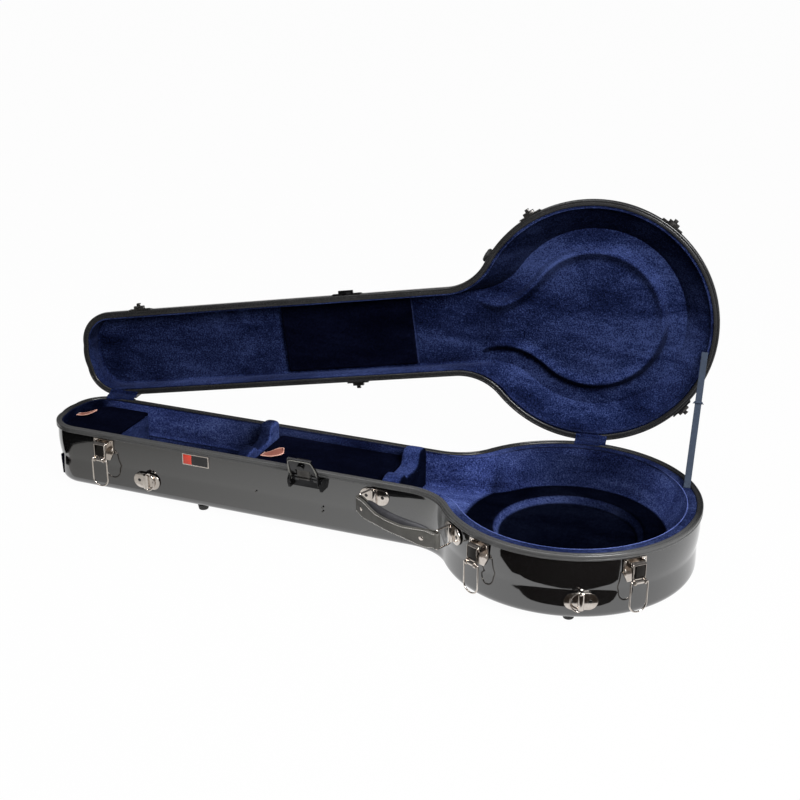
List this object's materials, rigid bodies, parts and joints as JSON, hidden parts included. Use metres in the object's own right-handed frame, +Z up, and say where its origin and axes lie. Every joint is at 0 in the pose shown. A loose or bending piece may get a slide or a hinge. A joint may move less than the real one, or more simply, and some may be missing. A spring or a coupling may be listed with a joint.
{
  "type": "banjo case",
  "caption": "Hard shell instrument case for a resonator banjo, open on its feet, with plush lined spaces, hinged lid, draw latches, centre lock and carrying handle.",
  "frame": {"origin": "middle of the open case's box on the floor it stands on", "axes": "+X along the case from the head end to the round body, +Y toward the hinge side, +Z up"},
  "size_m": [1.1398, 0.513, 0.5247],
  "materials": {
    "shell_gloss": "piano-black gloss lacquer over moulded composite",
    "rim_grey": "satin dark grey extruded closure rim",
    "blue_plush": "royal blue crushed plush over foam",
    "dark_plush": "dark navy plush, nap brushed away from the light",
    "nickel": "bright nickel plate, slightly warm",
    "black_metal": "black nickel, semi-gloss",
    "charcoal_leather": "charcoal leather with off-white edge stitching",
    "tan_leather": "natural pink-tan leather, smooth",
    "black_rubber": "black rubber",
    "blue_webbing": "blue woven webbing",
    "badge_black": "black enamel in a bright frame, bare"
  },
  "bodies": {
    "case_base": {"base_shell": "shell_gloss", "base_rim": "rim_grey", "base_lining": "blue_plush", "neck_rest": "blue_plush", "heel_rest": "blue_plush", "head_box_wall": "blue_plush", "head_latch_plate": "nickel", "waist_latch_plate": "nickel", "tail_latch_plate": "nickel", "rear_neck_latch_plate": "nickel", "rear_tail_latch_plate": "nickel", "lock_base": "black_metal", "handle_head_bracket": "nickel", "handle_body_bracket": "nickel", "head_ring_bracket": "nickel", "tail_ring_bracket": "nickel", "badge_plate": "badge_black", "front_neck_foot": "black_rubber", "rear_neck_foot": "black_rubber", "front_body_foot": "black_rubber", "rear_body_foot": "black_rubber", "head_hinge_base_leaf": "black_metal", "body_hinge_base_leaf": "black_metal", "head_hinge_flap": "blue_plush", "body_hinge_flap": "blue_plush", "stay_strap": "blue_webbing"},
    "lid": {"lid_shell": "shell_gloss", "lid_rim": "rim_grey", "lid_neck_lining": "blue_plush", "lid_body_lining": "blue_plush", "head_latch_catch": "nickel", "waist_latch_catch": "nickel", "tail_latch_catch": "nickel", "rear_neck_latch_catch": "nickel", "rear_tail_latch_catch": "nickel", "lock_catch": "black_metal", "head_hinge_lid_leaf": "black_metal", "body_hinge_lid_leaf": "black_metal", "lid_bumper": "black_rubber"},
    "head_box_lid": {"head_box_lid": "dark_plush", "head_box_tab": "tan_leather"},
    "middle_box_lid": {"middle_box_lid": "dark_plush", "middle_box_tab": "tan_leather"},
    "head_lever": {"head_latch_lever": "nickel"},
    "head_bail": {"head_latch_bail": "nickel"},
    "waist_lever": {"waist_latch_lever": "nickel"},
    "waist_bail": {"waist_latch_bail": "nickel"},
    "tail_lever": {"tail_latch_lever": "nickel"},
    "tail_bail": {"tail_latch_bail": "nickel"},
    "rear_neck_lever": {"rear_neck_latch_lever": "nickel"},
    "rear_neck_bail": {"rear_neck_latch_bail": "nickel"},
    "rear_tail_lever": {"rear_tail_latch_lever": "nickel"},
    "rear_tail_bail": {"rear_tail_latch_bail": "nickel"},
    "lock_lever": {"lock_lever": "black_metal"},
    "lock_claw": {"lock_claw": "nickel"},
    "handle_head_loop": {"handle_head_loop": "nickel"},
    "handle_body_loop": {"handle_body_loop": "nickel"},
    "handle_grip": {"handle_grip": "charcoal_leather"},
    "head_strap_ring": {"head_strap_ring": "nickel"},
    "tail_strap_ring": {"tail_strap_ring": "nickel"}
  },
  "joints": [
    {"name": "lid_hinge", "type": "hinge", "parent": "case_base", "child": "lid", "pos_m": [0.33385, 0.15697, 0.1128], "axis": [0.9889, 0.1487, 0], "range_deg": [0, 94], "deforming": ["head_hinge_flap", "body_hinge_flap", "stay_strap"]},
    {"name": "head_box_hinge", "type": "hinge", "parent": "case_base", "child": "head_box_lid", "pos_m": [-0.42713, -0.04931, 0.104], "axis": [0, -1, 0], "range_deg": [-85, 0]},
    {"name": "middle_box_hinge", "type": "hinge", "parent": "case_base", "child": "middle_box_lid", "pos_m": [0.07057, -0.04931, 0.104], "axis": [0, -1, 0], "range_deg": [-85, 0]},
    {"name": "head_latch_lift", "type": "hinge", "parent": "case_base", "child": "head_lever", "pos_m": [-0.43313, -0.13501, 0.1015], "axis": [1, 0, 0], "range_deg": [-150, 0]},
    {"name": "head_bail_swing", "type": "hinge", "parent": "head_lever", "child": "head_bail", "pos_m": [-0.43313, -0.14151, 0.077], "axis": [-1, 0, 0], "range_deg": [-10, 186.68]},
    {"name": "waist_latch_lift", "type": "hinge", "parent": "case_base", "child": "waist_lever", "pos_m": [0.27498, -0.24297, 0.1015], "axis": [0.907, -0.421, 0], "range_deg": [-150, 0]},
    {"name": "waist_bail_swing", "type": "hinge", "parent": "waist_lever", "child": "waist_bail", "pos_m": [0.27224, -0.24886, 0.077], "axis": [-0.907, 0.421, 0], "range_deg": [-10, 186.68]},
    {"name": "tail_latch_lift", "type": "hinge", "parent": "case_base", "child": "tail_lever", "pos_m": [0.51047, -0.20546, 0.1015], "axis": [0.7314, 0.682, 0], "range_deg": [-150, 0]},
    {"name": "tail_bail_swing", "type": "hinge", "parent": "tail_lever", "child": "tail_bail", "pos_m": [0.51491, -0.21021, 0.077], "axis": [-0.7314, -0.682, 0], "range_deg": [-10, 186.68]},
    {"name": "rear_neck_latch_lift", "type": "hinge", "parent": "case_base", "child": "rear_neck_lever", "pos_m": [-0.04963, 0.03639, 0.1015], "axis": [-1, 0, 0], "range_deg": [-150, 0]},
    {"name": "rear_neck_bail_swing", "type": "hinge", "parent": "rear_neck_lever", "child": "rear_neck_bail", "pos_m": [-0.04963, 0.04289, 0.077], "axis": [1, 0, 0], "range_deg": [-10, 186.68]},
    {"name": "rear_tail_latch_lift", "type": "hinge", "parent": "case_base", "child": "rear_tail_lever", "pos_m": [0.50352, 0.11303, 0.1015], "axis": [-0.7604, 0.6494, 0], "range_deg": [-150, 0]},
    {"name": "rear_tail_bail_swing", "type": "hinge", "parent": "rear_tail_lever", "child": "rear_tail_bail", "pos_m": [0.50775, 0.11798, 0.077], "axis": [0.7604, -0.6494, 0], "range_deg": [-10, 186.68]},
    {"name": "lock_throw", "type": "hinge", "parent": "case_base", "child": "lock_lever", "pos_m": [-0.04963, -0.13551, 0.101], "axis": [1, 0, 0], "range_deg": [0, 150]},
    {"name": "lock_claw_turn", "type": "hinge", "parent": "lock_lever", "child": "lock_claw", "pos_m": [-0.04963, -0.13915, 0.10929], "axis": [1, 0, 0], "range_deg": [-158.5, 0.5]},
    {"name": "handle_swing", "type": "hinge", "parent": "case_base", "child": "handle_head_loop", "pos_m": [0.06687, -0.12911, 0.092], "axis": [0, 0, 1], "range_deg": [-45, 45]},
    {"name": "handle_body_swing", "type": "hinge", "parent": "case_base", "child": "handle_body_loop", "pos_m": [0.2217, -0.19965, 0.092], "axis": [0, 0, 1], "range_deg": [-45, 45]},
    {"name": "handle_grip_turn", "type": "hinge", "parent": "handle_head_loop", "child": "handle_grip", "pos_m": [0.05443, -0.15641, 0.092], "axis": [0, 0, 1], "range_deg": [-45, 45]},
    {"name": "head_ring_swing", "type": "hinge", "parent": "case_base", "child": "head_strap_ring", "pos_m": [-0.35313, -0.12761, 0.043], "axis": [0, 0, -1], "range_deg": [0, 175]},
    {"name": "tail_ring_swing", "type": "hinge", "parent": "case_base", "child": "tail_strap_ring", "pos_m": [0.43873, -0.24172, 0.043], "axis": [0, 0, 1], "range_deg": [0, 175]}
  ],
  "couplings": [
    {"joint": "lock_claw_turn", "follows": "lock_throw", "ratio": -1.0533},
    {"joint": "handle_body_swing", "follows": "handle_swing", "ratio": 1},
    {"joint": "handle_grip_turn", "follows": "handle_swing", "ratio": -1}
  ]
}
